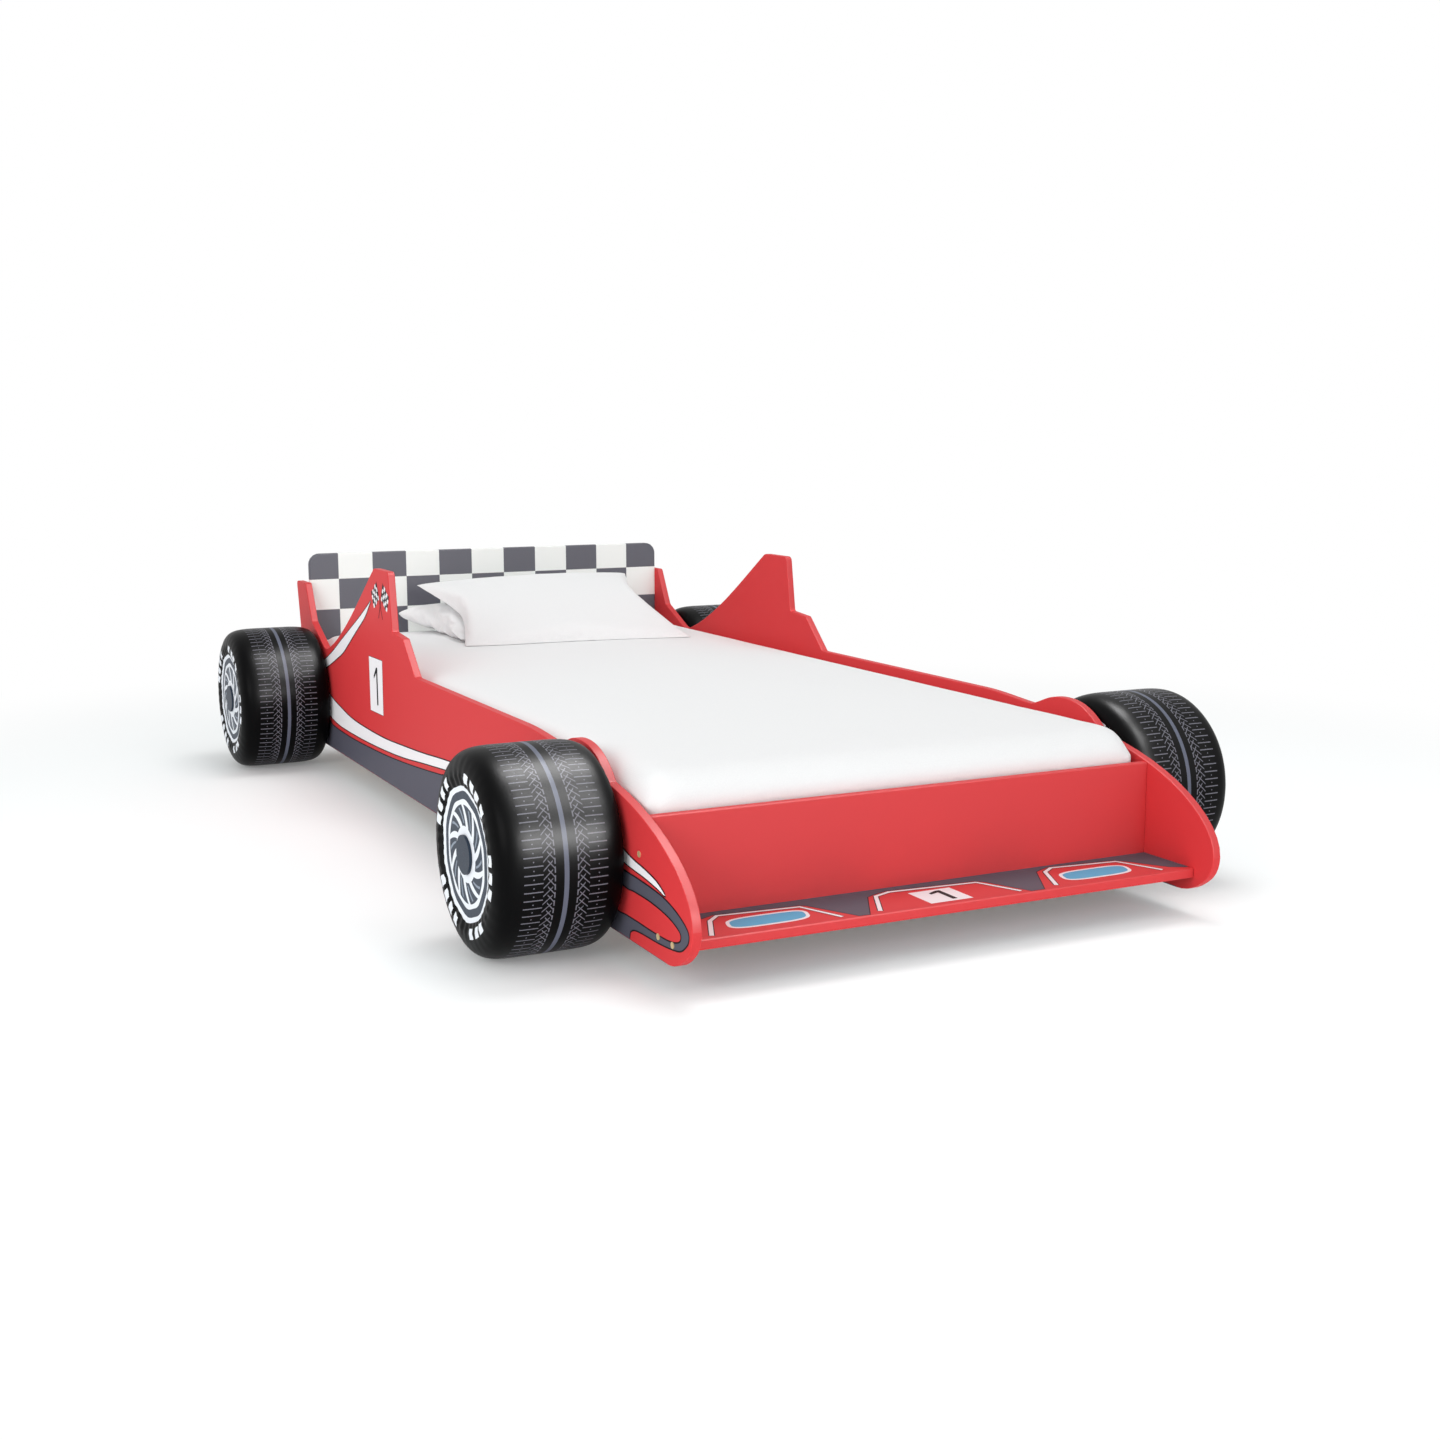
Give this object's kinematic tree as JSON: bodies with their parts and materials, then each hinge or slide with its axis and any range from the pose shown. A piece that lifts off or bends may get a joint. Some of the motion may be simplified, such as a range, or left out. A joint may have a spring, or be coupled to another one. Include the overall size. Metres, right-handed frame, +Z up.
{
  "type": "children's car bed",
  "caption": "Low racing-car bed for a child: shaped side panels, chequered headboard, nose shelf, slatted base, mattress, pillows and inflatable wheels that turn on pegs.",
  "frame": {"origin": "on the floor, on the centre line, under the middle of the overall length", "axes": "+Z up; +Y from the nose towards the headboard; +X to the right as seen from the nose, so the picture shows the -X side"},
  "size_m": [1.407, 2.281, 0.514],
  "materials": {
    "red_board": "semi-gloss printed lacquer on MDF",
    "shelf_board": "semi-gloss printed lacquer on MDF",
    "head_board": "semi-gloss printed lacquer on MDF, white and slate chequer",
    "pine": "planed, unfinished",
    "slat_wood": "planed, unfinished",
    "webbing": "woven band",
    "wheel_skin": "glossy inflated vinyl, printed",
    "valve_plastic": "soft moulded vinyl",
    "peg_wood": "turned, unfinished",
    "cap_plastic": "smooth moulded",
    "glide_plastic": "moulded",
    "zinc_steel": "zinc plated",
    "mattress_ticking": "smooth fitted cover",
    "pillow_cotton": "soft cotton, faint wrinkles"
  },
  "bodies": {
    "bed": {"side_panel_left": "red_board", "side_panel_right": "red_board", "front_board": "red_board", "nose_shelf": "shelf_board", "headboard": "head_board", "side_rail_left": "pine", "side_rail_right": "pine", "bearer_front": "pine", "bearer_middle": "pine", "bearer_rear": "pine", "leg_front_left": "pine", "leg_front_right": "pine", "leg_middle_left": "pine", "leg_middle_right": "pine", "leg_rear_left": "pine", "leg_rear_right": "pine", "leg_bolts": "zinc_steel", "foot_glides": "glide_plastic", "bearer_brackets": "zinc_steel", "slat_1": "slat_wood", "slat_2": "slat_wood", "slat_3": "slat_wood", "slat_4": "slat_wood", "slat_5": "slat_wood", "slat_6": "slat_wood", "slat_7": "slat_wood", "slat_8": "slat_wood", "slat_9": "slat_wood", "slat_10": "slat_wood", "slat_11": "slat_wood", "slat_12": "slat_wood", "slat_13": "slat_wood", "slat_14": "slat_wood", "slat_15": "slat_wood", "slat_strap_left": "webbing", "slat_strap_right": "webbing", "wheel_peg_front_left": "peg_wood", "wheel_peg_front_right": "peg_wood", "wheel_peg_rear_left": "peg_wood", "wheel_peg_rear_right": "peg_wood", "hub_cap_front_left": "cap_plastic", "hub_cap_front_right": "cap_plastic", "hub_cap_rear_left": "cap_plastic", "hub_cap_rear_right": "cap_plastic", "peg_bolts": "zinc_steel", "board_bolts": "zinc_steel", "cross_dowel_nuts": "zinc_steel", "rail_screws": "zinc_steel", "mattress": "mattress_ticking", "pillow_front": "pillow_cotton", "pillow_back": "pillow_cotton"},
    "wheel_unit_front_left": {"wheel_front_left": "wheel_skin", "valve_front_left": "valve_plastic"},
    "wheel_unit_front_right": {"wheel_front_right": "wheel_skin", "valve_front_right": "valve_plastic"},
    "wheel_unit_rear_left": {"wheel_rear_left": "wheel_skin", "valve_rear_left": "valve_plastic"},
    "wheel_unit_rear_right": {"wheel_rear_right": "wheel_skin", "valve_rear_right": "valve_plastic"}
  },
  "joints": [
    {"name": "wheel_front_left_turn", "type": "hinge", "parent": "bed", "child": "wheel_unit_front_left", "pos_m": [-0.5965, -0.77187, 0.1685], "axis": [1, 0, 0], "continuous": true},
    {"name": "wheel_front_right_turn", "type": "hinge", "parent": "bed", "child": "wheel_unit_front_right", "pos_m": [0.5965, -0.77187, 0.1685], "axis": [1, 0, 0], "continuous": true},
    {"name": "wheel_rear_left_turn", "type": "hinge", "parent": "bed", "child": "wheel_unit_rear_left", "pos_m": [-0.5965, 0.97413, 0.1685], "axis": [1, 0, 0], "continuous": true},
    {"name": "wheel_rear_right_turn", "type": "hinge", "parent": "bed", "child": "wheel_unit_rear_right", "pos_m": [0.5965, 0.97413, 0.1685], "axis": [1, 0, 0], "continuous": true}
  ]
}
